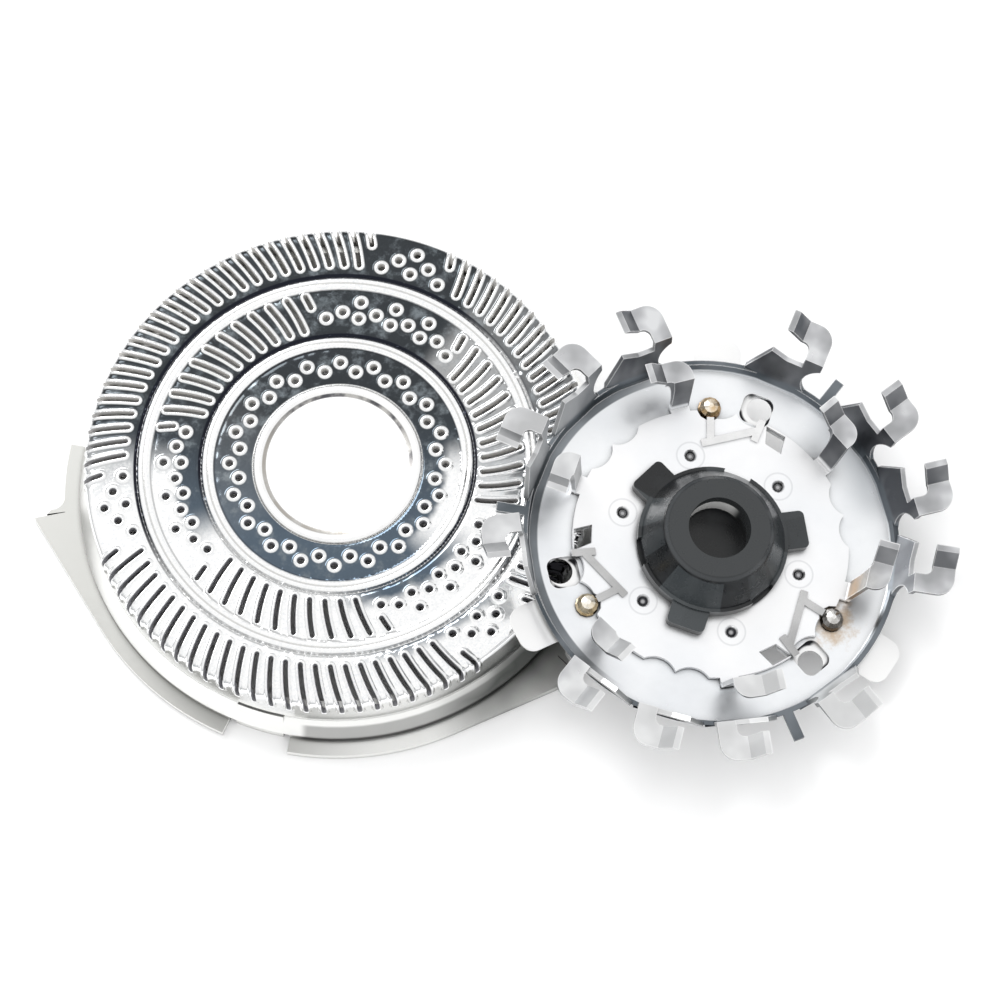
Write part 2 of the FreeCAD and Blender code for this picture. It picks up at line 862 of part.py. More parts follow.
def cutter_place():
    """Placement of the cutter: leaning away from the guard, coupling's rim on the table."""
    lean = lean_angle()
    tilt = math.radians(lean)
    direction = polar(1, cutter_direction)
    turn = Rotation(Vector(-direction.y, direction.x, 0), lean)
    depth = boss_drop + coupling_drop
    centre = direction * guard_to_cutter
    lift = depth * math.cos(tilt) + coupling_radius * math.sin(tilt)
    print("lean", round(lean, 3), "plate height", round(lift, 3))
    return Placement(Vector(centre.x, centre.y, lift), turn)


def main():
    """Build every piece, centre the pair on its footprint and write one file each."""
    parts = guard_parts()
    place = cutter_place()
    for name, shape in cutter_parts().items():
        moved = shape.copy()
        moved.Placement = place.multiply(moved.Placement)
        parts[name] = moved
    box = Part.makeCompound(list(parts.values())).BoundBox
    shift = Vector(-(box.XMin + box.XMax) / 2, -(box.YMin + box.YMax) / 2, -box.ZMin)
    os.makedirs("parts", exist_ok=True)
    for name, shape in parts.items():
        shape.translate(shift)
        shape.exportStep(os.path.join("parts", name + ".step"))
        print(name, len(shape.Solids), shape.isValid(), round(shape.Volume, 3), len(shape.Faces))


main()
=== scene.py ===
import math

import bpy
from mathutils import Matrix, Vector
from mathutils.geometry import delaunay_2d_cdt


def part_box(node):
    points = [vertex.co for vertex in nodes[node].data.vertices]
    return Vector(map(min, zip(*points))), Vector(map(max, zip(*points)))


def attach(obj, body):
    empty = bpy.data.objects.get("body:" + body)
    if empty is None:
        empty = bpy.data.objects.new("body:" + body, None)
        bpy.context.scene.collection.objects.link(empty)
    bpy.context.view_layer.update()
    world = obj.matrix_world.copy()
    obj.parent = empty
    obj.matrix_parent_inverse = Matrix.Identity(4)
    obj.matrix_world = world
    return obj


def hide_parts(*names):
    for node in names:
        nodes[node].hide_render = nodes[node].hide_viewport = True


MM = 0.001
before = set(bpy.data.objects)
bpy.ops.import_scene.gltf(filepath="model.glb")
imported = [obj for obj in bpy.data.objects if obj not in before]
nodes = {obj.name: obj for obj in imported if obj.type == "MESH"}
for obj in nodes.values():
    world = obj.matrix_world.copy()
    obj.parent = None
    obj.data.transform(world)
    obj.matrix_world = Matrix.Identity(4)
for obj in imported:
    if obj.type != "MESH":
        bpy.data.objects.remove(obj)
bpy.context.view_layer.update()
scene = bpy.context.scene


def box_centre(name):
    low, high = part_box(name)
    return (low + high) / 2


# Guard: its axis, and the sizes of the cap in millimetres
GUARD = Vector((box_centre("centre_disc").x, box_centre("centre_disc").y, 0.0))
TOP = 4.8
CAP_RADIUS = 13.8
SHOULDER = 0.45
SHEET = 0.4
SKIRT_LOW = 2.0
WELL_RADIUS = 4.57
BEADS = ((6.7, 7.5), (10.15, 11.0))
PATCHES = (70.5, 190.5, 310.5)
LIP_WIDTH = 0.22
HOLE_LIP = 0.26
LIP_HEIGHT = 0.085
HOLE_RADIUS = 0.2
SLOT_WIDTH = 0.24
WELL_SLOPE_END = 4.95
WELL_DROP = 0.06
TRACK_FALL = 0.009
EDGE_DROP = 0.073
SKIRT_INSET = 0.06
SLOT_STEP = 0.26
HOLE_CORNERS = 20
LIP_ROWS = (0.0, 0.24, 0.48, 0.74, 1.0, 1.2)
FAR = 9.0
GUARD_TURN = (0.0, 0.0, 0.0)

# Cutter: the centre of its dish and its lean, as the solids have them
LEAN = 11.383
CUTTER_WAY = -13.0
CUTTER_AWAY = 20.6
CUTTER_LIFT = 3.768
WAY = math.radians(CUTTER_WAY)
CUTTER = GUARD + Vector((CUTTER_AWAY * math.cos(WAY), CUTTER_AWAY * math.sin(WAY), CUTTER_LIFT)) * MM
LEAN_AXIS = Vector((-math.sin(WAY), math.cos(WAY), 0.0))
CUTTER_TURN = tuple(Matrix.Rotation(math.radians(LEAN), 3, LEAN_AXIS).to_euler("XYZ"))
RIVET_RING = 7.7
STAINED_RIVET = -30.8
DIMPLE_RING = 5.03
FIRST_DIMPLE = 42.5
WINDOW_RING = 8.2
WINDOWS = (71.5, 193.5, 312.0)
EDGE_WIDTH = 0.085

# Colours that several materials share
# White of the painted highlights
HIGHLIGHT_WHITE = (0.97, 0.97, 0.97, 1)
DEEP_SHADE = (0.012, 0.012, 0.014, 1)


def make_camera():
    """Camera at the photograph's angle: a long lens, high in front of the parts."""
    right = Vector((0.99894, 0.0, -0.0461))
    up = Vector((0.01601, 0.9378, 0.3468))
    back = Vector((0.04324, -0.3472, 0.9368))
    distance = 432.43
    target = GUARD + Vector((0, 0, TOP * MM))
    place = target + (right * 8.811 - up * 1.978 + back * distance) * MM
    data = bpy.data.cameras.new("view_camera")
    data.sensor_width = 36.0
    # Focal length over picture width, as fitted, in pixels
    data.lens = 8000 / 1001 * data.sensor_width
    data.clip_start = 0.01
    data.clip_end = 10.0
    camera = bpy.data.objects.new("view_camera", data)
    camera.matrix_world = Matrix((
        (right.x, up.x, back.x, place.x),
        (right.y, up.y, back.y, place.y),
        (right.z, up.z, back.z, place.z),
        (0, 0, 0, 1),
    ))
    scene.collection.objects.link(camera)
    scene.camera = camera


class Nodes:
    """Short calls to build one material's node tree."""

    def __init__(self, name):
        self.material = bpy.data.materials.new(name)
        self.material.use_nodes = True
        self.tree = self.material.node_tree
        self.tree.nodes.clear()
        self.shader = self.tree.nodes.new("ShaderNodeBsdfPrincipled")
        output = self.tree.nodes.new("ShaderNodeOutputMaterial")
        self.tree.links.new(self.shader.outputs[0], output.inputs[0])
        self.coords = self.tree.nodes.new("ShaderNodeTexCoord").outputs["Object"]

    def put(self, socket, value):
        if hasattr(value, "is_output"):
            self.tree.links.new(value, socket)
        else:
            socket.default_value = value

    def add(self, kind, values=None, **settings):
        node = self.tree.nodes.new(kind)
        for key, value in settings.items():
            setattr(node, key, value)
        for key, value in (values or {}).items():
            self.put(node.inputs[key], value)
        return node

    def local(self, place, rotation):
        """Coordinates in millimetres in a frame with its own place and turn."""
        node = self.add("ShaderNodeMapping", vector_type="TEXTURE")
        self.put(node.inputs["Vector"], self.coords)
        node.inputs["Location"].default_value = place
        node.inputs["Rotation"].default_value = rotation
        node.inputs["Scale"].default_value = (MM, MM, MM)
        return node.outputs[0]

    def noise(self, vector, scale, detail=4.0, rough=0.55):
        node = self.add("ShaderNodeTexNoise", {
            "Vector": vector, "Scale": scale, "Detail": detail, "Roughness": rough})
        return node.outputs["Fac"]

    def stretch(self, vector, scale):
        """Scale coordinates apart, so that a noise runs along one way."""
        node = self.add("ShaderNodeMapping", {"Vector": vector})
        node.inputs["Scale"].default_value = scale
        return node.outputs[0]

    def math(self, operation, first, second=0.0, third=0.0):
        node = self.add("ShaderNodeMath", {0: first, 1: second, 2: third}, operation=operation)
        return node.outputs[0]

    def ramp(self, value, *stops):
        """Colour ramp through (position, (red, green, blue) or (grey,)) stops."""
        node = self.add("ShaderNodeValToRGB", {"Fac": value})
        while len(node.color_ramp.elements) < len(stops):
            node.color_ramp.elements.new(0.5)
        for element, (position, colour) in zip(node.color_ramp.elements, stops):
            element.position = position
            element.color = (*colour, 1) if len(colour) == 3 else (colour[0],) * 3 + (1,)
        return node.outputs["Color"]

    def mix(self, factor, first, second):
        node = self.add("ShaderNodeMix", {0: factor}, data_type="RGBA")
        self.put(node.inputs[6], first)
        self.put(node.inputs[7], second)
        return node.outputs[2]

    def split(self, vector):
        return self.add("ShaderNodeSeparateXYZ", {"Vector": vector}).outputs

    def radius(self, vector):
        parts = self.split(vector)
        square = self.math("MULTIPLY_ADD", parts[1], parts[1], self.math("MULTIPLY", parts[0], parts[0]))
        return self.math("SQRT", square)

    def slope(self, value, start, end):
        """Rises from 0 at start to 1 at end; start may be the larger one."""
        node = self.add("ShaderNodeMapRange", {"Value": value, "From Min": start, "From Max": end})
        node.interpolation_type = "SMOOTHSTEP"
        return node.outputs[0]

    def lobe(self, vector, angle, full, none):
        """1 within some degrees of a direction round the axis, 0 beyond some more."""
        parts = self.split(vector)
        turn = math.radians(angle)
        along = self.math("MULTIPLY_ADD", parts[1], math.sin(turn), self.math(
            "MULTIPLY", parts[0], math.cos(turn)))
        ratio = self.math("DIVIDE", along, self.radius(vector))
        return self.slope(ratio, math.cos(math.radians(none)), math.cos(math.radians(full)))

    def ring(self, radius, middle, half):
        """1 at a radius, falling to 0 at a distance from it."""
        return self.slope(self.math("ABSOLUTE", self.math("SUBTRACT", radius, middle)), half, half * 0.35)

    def times(self, *values):
        result = values[0]
        for value in values[1:]:
            result = self.math("MULTIPLY", result, value)
        return result

    def largest(self, *values):
        result = values[0]
        for value in values[1:]:
            result = self.math("MAXIMUM", result, value)
        return result

    def crease_shade(self, distance, dark=0.35):
        """Painted shade in inner corners, from ambient occlusion."""
        node = self.add("ShaderNodeAmbientOcclusion", {"Distance": distance * MM}, samples=6)
        return self.ramp(node.outputs["AO"], (0.15, (dark,)), (0.8, (1.0,)))

    def product(self, first, second):
        """Two colours multiplied."""
        node = self.add("ShaderNodeMix", {0: 1.0}, data_type="RGBA", blend_type="MULTIPLY")
        self.put(node.inputs[6], first)
        self.put(node.inputs[7], second)
        return node.outputs[2]

    def bump(self, height, distance, strength=1.0):
        """Relief of the surface; the distance is in millimetres."""
        node = self.add("ShaderNodeBump", {
            "Height": height, "Distance": distance * MM, "Strength": strength})
        self.put(self.shader.inputs["Normal"], node.outputs[0])
        return node

    def set(self, **values):
        names = {"colour": "Base Color", "metal": "Metallic", "rough": "Roughness"}
        for key, value in values.items():
            self.put(self.shader.inputs[names.get(key, key)], value)
        return self.material


def land_mask(n, spot, radius):
    """Where the flat lands between the openings mirror something dark."""
    wave = n.math("MULTIPLY_ADD", n.noise(spot, 0.8, 3.0), 0.9, radius)
    top = n.lobe(spot, 112, 57, 74)
    inner = n.math("SUBTRACT", 1.0, n.times(n.lobe(spot, -20, 10, 34), n.slope(wave, 6.1, 6.6)))
    middle = n.largest(
        top,
        n.times(n.lobe(spot, 182, 14, 32), n.slope(wave, 9.6, 9.0)),
        n.times(n.lobe(spot, 300, 8, 34), n.slope(wave, 9.2, 8.4)),
        n.times(n.lobe(spot, 25, 18, 44), 0.62))
    outer = n.largest(
        top,
        n.times(n.lobe(spot, 165, 8, 26), 0.45),
        n.times(n.lobe(spot, 300, 4, 26), n.slope(wave, 12.3, 11.6), 0.8),
        n.times(n.lobe(spot, 25, 20, 44), 0.85))
    left = n.math("MULTIPLY_ADD", n.lobe(spot, 180, 20, 45), -0.05, 1.0)
    first = n.times(inner, left, n.slope(radius, 6.78, 6.7))
    second = n.times(middle, n.slope(radius, 7.4, 7.5), n.slope(radius, 10.2, 10.1))
    third = n.times(outer, n.slope(radius, 10.95, 11.05), n.slope(radius, 13.75, 13.5))
    return n.times(n.largest(first, second, third), n.slope(radius, 4.60, 4.67))


def under_window(n, spot):
    """Deep shade on the guard where one of the dish's windows lies on it."""
    return n.slope(nearest(n, spot, [(12.1, -6.2, 4.2)]), 1.6, 1.0)


def foil_colour(n, spot):
    """Painted dark reflection on the lands, white lips and beads, painted shade in the grooves and along the
    beads' fine lines.
    """
    radius = n.radius(spot)
    gap = n.add("ShaderNodeAttribute", attribute_name="gap").outputs["Fac"]
    cloud = n.noise(spot, 1.1, 4.0, 0.65)
    # Painted reflection: the lands mirror something dark, lighter and bluer on the near side, mottled
    near = n.slope(n.split(spot)[1], 4.0, -5.0)
    dark_reflection = n.mix(near, (0.046, 0.052, 0.057, 1), (0.100, 0.132, 0.168, 1))
    dark_reflection = n.mix(n.slope(cloud, 0.48, 0.78), dark_reflection, (0.22, 0.25, 0.27, 1))
    fine = n.noise(spot, 7.0, 4.0, 0.6)
    white = n.ramp(fine, (0.25, (0.86, 0.88, 0.90)), (0.55, (0.985, 0.985, 0.98)))
    land = n.times(land_mask(n, spot, radius), n.slope(gap, 0.14, 0.21))
    colour = n.mix(land, white, dark_reflection)
    shade = n.times(n.slope(gap, 0.02, 0.08), n.slope(gap, 0.17, 0.1), 0.12)
    colour = n.mix(shade, colour, (0.30, 0.31, 0.33, 1))
    (first_in, first_out), (second_in, second_out) = BEADS
    # Painted shade in the grooves beside the beads, stronger on some sides
    groove = n.largest(
        n.times(n.ring(radius, first_out, 0.11), n.largest(n.lobe(spot, 70, 110, 150), 0.35)),
        n.times(n.ring(radius, second_out, 0.12), n.largest(n.lobe(spot, 125, 70, 105), 0.3)),
        n.times(n.ring(radius, first_in, 0.07), 0.4),
        n.times(n.ring(radius, second_in, 0.07), 0.4))
    colour = n.mix(groove, colour, (0.018, 0.020, 0.028, 1))
    # Painted shade along the fine groove on each bead's ridge
    line = n.times(n.largest(n.ring(radius, 7.06, 0.07), n.ring(radius, 10.53, 0.07)), 0.5)
    colour = n.mix(line, colour, (0.36, 0.35, 0.33, 1))
    return n.mix(under_window(n, spot), colour, DEEP_SHADE)


def matt_inside():
    """Blasted inner faces and slot walls: pale, with painted shade on the near side."""
    n = Nodes("matt_inside")
    spot = n.local(GUARD, GUARD_TURN)
    grain = n.noise(spot, 3.0, 3.0, 0.6)
    pale = n.ramp(grain, (0.3, (0.62, 0.61, 0.59)), (0.7, (0.80, 0.79, 0.77)))
    # Painted shade on the near side
    colour = n.mix(n.lobe(spot, -100, 65, 105), pale, (0.34, 0.34, 0.36, 1))
    colour = n.mix(under_window(n, spot), colour, DEEP_SHADE)
    n.bump(grain, 0.01)
    return n.set(colour=colour, metal=0.15, rough=0.6)


def polished_steel():
    """Mirror-bright foil with faint draw lines, specks and waviness."""
    n = Nodes("polished_foil")
    spot = n.local(GUARD, GUARD_TURN)
    fine = n.noise(spot, 7.0, 4.0, 0.6)
    broad = n.noise(spot, 0.22, 2.0)
    rough = n.ramp(fine, (0.3, (0.08,)), (0.8, (0.18,)))
    height = n.math("MULTIPLY_ADD", broad, 1.6, n.math("MULTIPLY", fine, 0.05))
    n.bump(height, 0.008)
    return n.set(colour=foil_colour(n, spot), metal=1.0, rough=rough)


def satin_steel(name, place, turn, tint, dark, rough, grain, bump, streak=0.93):
    """Rolled sheet between two tones: clouds, grain along one way and faint scratches.

    Returns the tree, its local coordinates, the colour and the roughness.
    """
    n = Nodes(name)
    spot = n.local(place, turn)
    cloud = n.noise(spot, 0.16, 2.0, 0.5)
    lines = n.noise(n.stretch(spot, (grain, 1.2, 1.2)), 1.4, 3.0, 0.6)
    tone = n.mix(n.ramp(cloud, (0.35, (0.0,)), (0.65, (1.0,))), (*dark, 1), (*tint, 1))
    worn = n.ramp(lines, (0.3, (streak,)), (0.6, (1.0,)))
    low, high = rough
    n.bump(n.math("MULTIPLY_ADD", cloud, 2.0, lines), bump)
    return n, spot, n.product(tone, worn), n.ramp(lines, (0.2, (low,)), (0.8, (high,)))


def finish_material(name, place, turn, tint, dark, rough, grain, bump, metal=1.0):
    """Rolled sheet with nothing else on it."""
    n, _, colour, roughness = satin_steel(name, place, turn, tint, dark, rough, grain, bump)
    return n.set(colour=colour, metal=metal, rough=roughness)


def edge_mask(n):
    """1 at the sheet's cut edges, 0 on its faces."""
    edge = n.add("ShaderNodeBevel", {"Radius": EDGE_WIDTH * MM}, samples=4)
    flat = n.add("ShaderNodeTexCoord").outputs["Normal"]
    same = n.add("ShaderNodeVectorMath", {0: edge.outputs[0], 1: flat}, operation="DOT_PRODUCT")
    return n.ramp(same.outputs["Value"], (0.80, (1.0,)), (0.985, (0.0,)))


def edge_tones(n, colour, edge, edge_shade_side):
    """Cut edges with a painted highlight, and painted shade where they face away from the light."""
    # Painted highlight on the cut edges, painted shade on the side that faces away from the light
    bright = n.times(edge, 0.85, n.math("SUBTRACT", 1.0, edge_shade_side))
    colour = n.mix(bright, colour, HIGHLIGHT_WHITE)
    return n.mix(n.times(edge, edge_shade_side), colour, (0.07, 0.08, 0.095, 1))


def nearest(n, spot, places):
    """Distance to the nearest of some points."""
    best = None
    for place in places:
        gap = n.add("ShaderNodeVectorMath", {0: spot, 1: place}, operation="DISTANCE").outputs["Value"]
        best = gap if best is None else n.math("MINIMUM", best, gap)
    return best


def around(radius, angles, height):
    """Points at one radius and height, at some angles."""
    return [
        (radius * math.cos(math.radians(a)), radius * math.sin(math.radians(a)), height) for a in angles]


def hook_light_and_shade(n, spot):
    """Grey hooks with painted light: paler on top and at the near side, painted shade on their walls."""
    up = n.split(n.add("ShaderNodeNewGeometry").outputs["Normal"])[2]
    smear = n.noise(n.stretch(spot, (0.6, 0.6, 0.3)), 0.8, 2.0, 0.5)
    # Painted light on the upward faces, painted shade on the walls
    top = n.ramp(
        smear, (0.36, (0.37, 0.375, 0.385)), (0.52, (0.51, 0.515, 0.53)), (0.66, (0.74, 0.75, 0.76)))
    wall = n.ramp(smear, (0.38, (0.085, 0.09, 0.10)), (0.62, (0.22, 0.225, 0.235)))
    grey = n.mix(n.slope(up, 0.55, 0.85), wall, top)
    # Painted sheen on the hooks at the near side and at the left
    near = n.largest(n.lobe(spot, -86, 36, 56), n.times(n.lobe(spot, 172, 20, 50), 0.55))
    return n.mix(n.times(near, 0.58), grey, (0.84, 0.845, 0.84, 1))


def rust(n, spot, place, reach):
    """Stained patch round a point."""
    gap = nearest(n, spot, [place])
    patch = n.math("MULTIPLY_ADD", n.noise(spot, 1.3, 4.0, 0.7), -1.8 * reach, gap)
    return n.slope(patch, 0.0, -0.75 * reach)


def cutter_steel():
    """Formed steel of the dish: bluish satin plate, painted shade on the rim and under a hook, a painted
    highlight along the rim, a rust stain, grey hooks with painted light and shade and painted highlights on
    their edges.
    """
    n, spot, plate, rough = satin_steel(
        "cutter_steel", CUTTER, CUTTER_TURN, (0.95, 0.965, 0.98), (0.84, 0.86, 0.885),
        (0.26, 0.36), grain=1.0, bump=0.0015, streak=0.975)
    radius = n.radius(spot)
    height = n.split(spot)[2]
    smear = n.noise(spot, 0.3, 2.0, 0.5)
    # Painted shade on the rim wall
    rim_shade = n.ramp(smear, (0.38, (0.075, 0.088, 0.10)), (0.62, (0.19, 0.21, 0.23)))
    above = n.slope(height, 0.10, 0.26)
    rim = n.largest(
        n.times(n.slope(radius, 9.50, 9.58), above),
        n.times(n.slope(radius, 9.36, 9.46), n.lobe(spot, 168, 45, 75), 0.9))
    # Painted shadow on the dish beneath a hook
    dim = n.times(n.lobe(spot, 32, 8, 24), n.slope(radius, 7.4, 9.4), 0.45)
    colour = n.mix(dim, plate, (0.30, 0.33, 0.36, 1))
    stain = n.times(rust(n, spot, around(RIVET_RING, [STAINED_RIVET], 0.2)[0], 2.0), 0.75)
    colour = n.mix(stain, colour, (0.55, 0.38, 0.21, 1))
    # Painted highlight along the rim's lower left outside
    rim_highlight = n.times(n.lobe(spot, -152, 14, 22), n.slope(radius, 9.93, 9.98), n.slope(height, 0.5, 0.3))
    colour = n.mix(rim_highlight, n.mix(rim, colour, rim_shade), HIGHLIGHT_WHITE)
    colour = n.mix(n.slope(height, 0.6, 0.95), colour, hook_light_and_shade(n, spot))
    # Painted highlight on the cut edges, painted shade on those facing away and in the corners
    rim_only = n.times(n.slope(height, 0.8, 0.66), n.slope(height, 0.05, 0.2))
    edge_shade_side = n.times(n.lobe(spot, -62, 78, 100), rim_only, 0.8)
    colour = n.product(edge_tones(n, colour, edge_mask(n), edge_shade_side), n.crease_shade(0.6, 0.16))
    return n.set(colour=colour, metal=1.0, rough=rough)


def plate_steel():
    """Middle plate: bright satin with painted dark reflections in its dimples, its hooks greyer with painted
    light and shade and painted highlights on their edges.
    """
    n, spot, plate, rough = satin_steel(
        "plate_steel", CUTTER, CUTTER_TURN, (0.985, 0.985, 0.99), (0.90, 0.915, 0.935),
        (0.3, 0.4), grain=1.0, bump=0.0015, streak=0.985)
    height = n.split(spot)[2]
    gap = nearest(n, spot, around(DIMPLE_RING, [FIRST_DIMPLE + 60 * i for i in range(6)], 0.12))
    halo = n.times(n.slope(n.math("ABSOLUTE", n.math("SUBTRACT", gap, 0.78)), 0.07, 0.02), 0.3)
    colour = n.mix(halo, plate, (0.45, 0.46, 0.48, 1))
    # Painted dark reflection in the dimples, with a painted highlight at their middles
    colour = n.mix(n.slope(gap, 0.38, 0.24), colour, (0.05, 0.05, 0.055, 1))
    colour = n.mix(n.slope(gap, 0.16, 0.06), colour, (0.45, 0.45, 0.46, 1))
    colour = n.mix(n.slope(height, 0.45, 0.8), colour, hook_light_and_shade(n, spot))
    mottle = n.ramp(n.noise(spot, 1.3, 4.0, 0.7), (0.35, (0.55,)), (0.6, (1.0,)))
    stain = n.slope(nearest(n, spot, around(8.2, [-18], 1.9)), 1.9, 0.9)
    stain = n.times(stain, mottle, n.slope(height, 0.3, 0.5), 0.92)
    brown = n.mix(n.slope(height, 2.8, 1.6), (0.22, 0.20, 0.17, 1), (0.22, 0.13, 0.05, 1))
    colour = n.mix(stain, colour, brown)
    # Painted highlight on the cut edges, painted shade on those facing away and in the corners
    edge_shade_side = n.times(n.lobe(spot, -105, 62, 95), n.slope(height, 0.5, 0.4), 0.8)
    colour = n.product(edge_tones(n, colour, edge_mask(n), edge_shade_side), n.crease_shade(0.45, 0.16))
    return n.set(colour=colour, metal=1.0, rough=rough)


def underlay_steel():
    """Thin plate under the dish: nearly white, with painted shadow where the dish's windows frame it, and
    painted shade in its corners.
    """
    n, spot, colour, rough = satin_steel(
        "underlay_steel", CUTTER, CUTTER_TURN, (0.97, 0.97, 0.965), (0.93, 0.93, 0.93),
        (0.3, 0.42), grain=1.0, bump=0.0015, streak=0.985)
    gap = nearest(n, spot, around(WINDOW_RING, WINDOWS, -0.25))
    broken = n.slope(n.noise(spot, 0.75, 1.0), 0.42, 0.50)
    # Painted shadow of the windows' edges, broken up by noise
    shade = n.times(n.slope(gap, 0.70, 0.82), n.slope(gap, 1.25, 1.15), broken)
    colour = n.mix(shade, colour, (0.035, 0.035, 0.04, 1))
    return n.set(colour=n.product(colour, n.crease_shade(0.35, 0.06)), metal=1.0, rough=rough)


def bezel_steel():
    """Bright rolled ring with a painted reflection on its grey inner slope, and a grey line at its outer
    edge.
    """
    n, spot, colour, rough = satin_steel(
        "bright_bezel", GUARD, GUARD_TURN, (0.98, 0.98, 0.97), (0.93, 0.93, 0.93),
        (0.15, 0.25), grain=2.0, bump=0.003, streak=0.97)
    radius = n.radius(spot)
    # Painted reflection on the inner slope: dark towards the back, warm grey elsewhere, mottled
    tone = n.mix(n.lobe(spot, 70, 50, 100), (0.42, 0.40, 0.37, 1), (0.10, 0.10, 0.11, 1))
    tone = n.mix(n.slope(n.noise(spot, 0.9, 3.0), 0.4, 0.6), tone, (0.5, 0.49, 0.47, 1))
    inner = n.times(n.slope(radius, 4.12, 4.06), n.slope(radius, 3.84, 3.92))
    outer = n.times(n.ring(radius, WELL_RADIUS, 0.06), 0.5)
    colour = n.mix(n.largest(inner, outer), colour, tone)
    return n.set(colour=colour, metal=1.0, rough=rough)


def frame_steel():
    """Smooth satin ring: pale, with steep faces painted paler, painted shade on its flat left side, on its
    steep wall to the lower right and in its corners, and painted dark reflection bands on its right.
    """
    n, spot, colour, rough = satin_steel(
        "satin_frame", GUARD, GUARD_TURN, (0.90, 0.90, 0.88), (0.84, 0.84, 0.82),
        (0.28, 0.36), grain=1.0, bump=0.0006, streak=0.985)
    radius = n.radius(spot)
    up = n.split(n.add("ShaderNodeNewGeometry").outputs["Normal"])[2]
    steep = n.slope(up, 0.8, 0.4)
    # Steep faces painted slightly paler
    colour = n.mix(steep, colour, (0.93, 0.93, 0.91, 1))
    # Painted shade on the flat left side
    left = n.times(n.lobe(spot, 200, 45, 80), n.slope(up, 0.9, 0.97))
    colour = n.mix(left, colour, (0.40, 0.40, 0.385, 1))
    wall = n.times(steep, n.slope(radius, 14.8, 14.6))
    height = n.split(spot)[2]
    # Painted shade on the low wall at the lower right, darkest at its foot
    low = n.times(wall, n.slope(height, 1.62, 1.45), n.lobe(spot, -70, 27, 29))
    colour = n.mix(n.times(low, 0.9), colour, (0.20, 0.20, 0.195, 1))
    foot_shade = n.times(wall, n.slope(height, 0.95, 0.8), n.lobe(spot, -70, 27, 32))
    colour = n.mix(foot_shade, colour, (0.045, 0.045, 0.045, 1))
    # Painted dark reflection and shadow of the cutter, in bands, on the right
    right = n.lobe(spot, -38, 12, 34)
    reflection_warp = n.math("MULTIPLY_ADD", n.noise(spot, 0.25, 2.0), 3.0, radius)
    turns = n.math("FRACT", n.math("MULTIPLY", reflection_warp, 0.34))
    reflection_bands = n.ramp(turns, (0.0, (0.35,)), (0.35, (1.0,)), (0.6, (0.8,)), (1.0, (0.35,)))
    colour = n.mix(n.times(right, reflection_bands, 0.93), colour, (0.062, 0.066, 0.062, 1))
    colour = n.product(colour, n.crease_shade(0.45, 0.10))
    return n.set(colour=colour, metal=1.0, rough=rough)


def black_plastic():
    """Moulded hub: nearly black and half glossy, with flat facets painted lighter at random as painted
    light, and a painted highlight in its socket.
    """
    n = Nodes("moulded_black")
    spot = n.local(CUTTER, CUTTER_TURN)
    parts = n.split(spot)
    radius = n.radius(spot)
    grain = n.noise(spot, 9.0, 3.0, 0.6)
    wear = n.noise(spot, 0.9, 3.0, 0.6)
    sectors = 14
    angle = n.math("ARCTAN2", parts[1], parts[0])
    sector = n.math("FLOOR", n.math("MULTIPLY_ADD", angle, sectors / math.tau, 7.3))
    tone = n.add("ShaderNodeTexWhiteNoise", {"W": sector}, noise_dimensions="1D").outputs["Value"]
    # Painted light: each facet of the cone lighter by a random amount
    cone = n.times(n.slope(radius, 3.02, 3.08), n.slope(parts[2], 0.76, 0.80))
    facet = n.times(cone, n.slope(tone, 0.25, 0.95))
    colour = n.mix(n.slope(wear, 0.4, 0.75), (0.003, 0.004, 0.005, 1), (0.012, 0.014, 0.016, 1))
    colour = n.mix(facet, colour, (0.045, 0.052, 0.056, 1))
    collar = n.times(n.slope(radius, 3.02, 2.95), n.slope(parts[2], 1.4, 1.8))
    colour = n.mix(collar, colour, (0.026, 0.029, 0.031, 1))
    colour = n.mix(n.times(n.ring(radius, 2.88, 0.1), 0.5), colour, (0.055, 0.06, 0.065, 1))
    glint = n.times(
        n.ring(radius, 1.7, 0.12), n.lobe(spot, 100, 36, 58),
        n.slope(parts[2], 1.15, 1.3), n.slope(parts[2], 2.45, 2.3))
    colour = n.mix(glint, colour, (0.97, 0.97, 0.95, 1))
    rough = n.ramp(wear, (0.3, (0.22,)), (0.7, (0.38,)))
    n.bump(grain, 0.004)
    return n.set(colour=colour, metal=0.0, rough=rough)


def rivet_metal(name, *stops):
    """Domed rivet: painted highlight on its top, darker towards its edge, with a patchy stain."""
    n = Nodes(name)
    spot = n.local(CUTTER, CUTTER_TURN)
    stain = n.noise(spot, 1.6, 4.0, 0.65)
    up = n.split(n.add("ShaderNodeNewGeometry").outputs["Normal"])[2]
    # Painted highlight on the upward faces of the dome
    colour = n.ramp(n.math("MULTIPLY_ADD", stain, 0.5, n.math("MULTIPLY", up, 0.55)), *stops)
    n.bump(stain, 0.004)
    return n.set(colour=colour, metal=1.0, rough=n.ramp(stain, (0.3, (0.32,)), (0.7, (0.2,))))


# The cap's profile, as height and radius over the length along its surface

BEND = SHOULDER * math.pi / 2
FLAT_END = CAP_RADIUS - SHOULDER
PROFILE_END = FLAT_END + BEND + (TOP - SHOULDER - SKIRT_LOW)


def bead(t):
    """Height of the bead between two tracks, over its width from 0 to 1."""
    ridge = 0.07 * math.sin(math.pi * t / 0.84) ** 0.8 if t < 0.84 else 0.0
    line = -0.09 * math.exp(-((t - 0.45) / 0.055) ** 2)
    groove = -0.30 * math.exp(-((t - 0.92) / 0.07) ** 2)
    step = -0.05 * math.exp(-((t - 0.03) / 0.05) ** 2)
    return ridge + line + groove + step


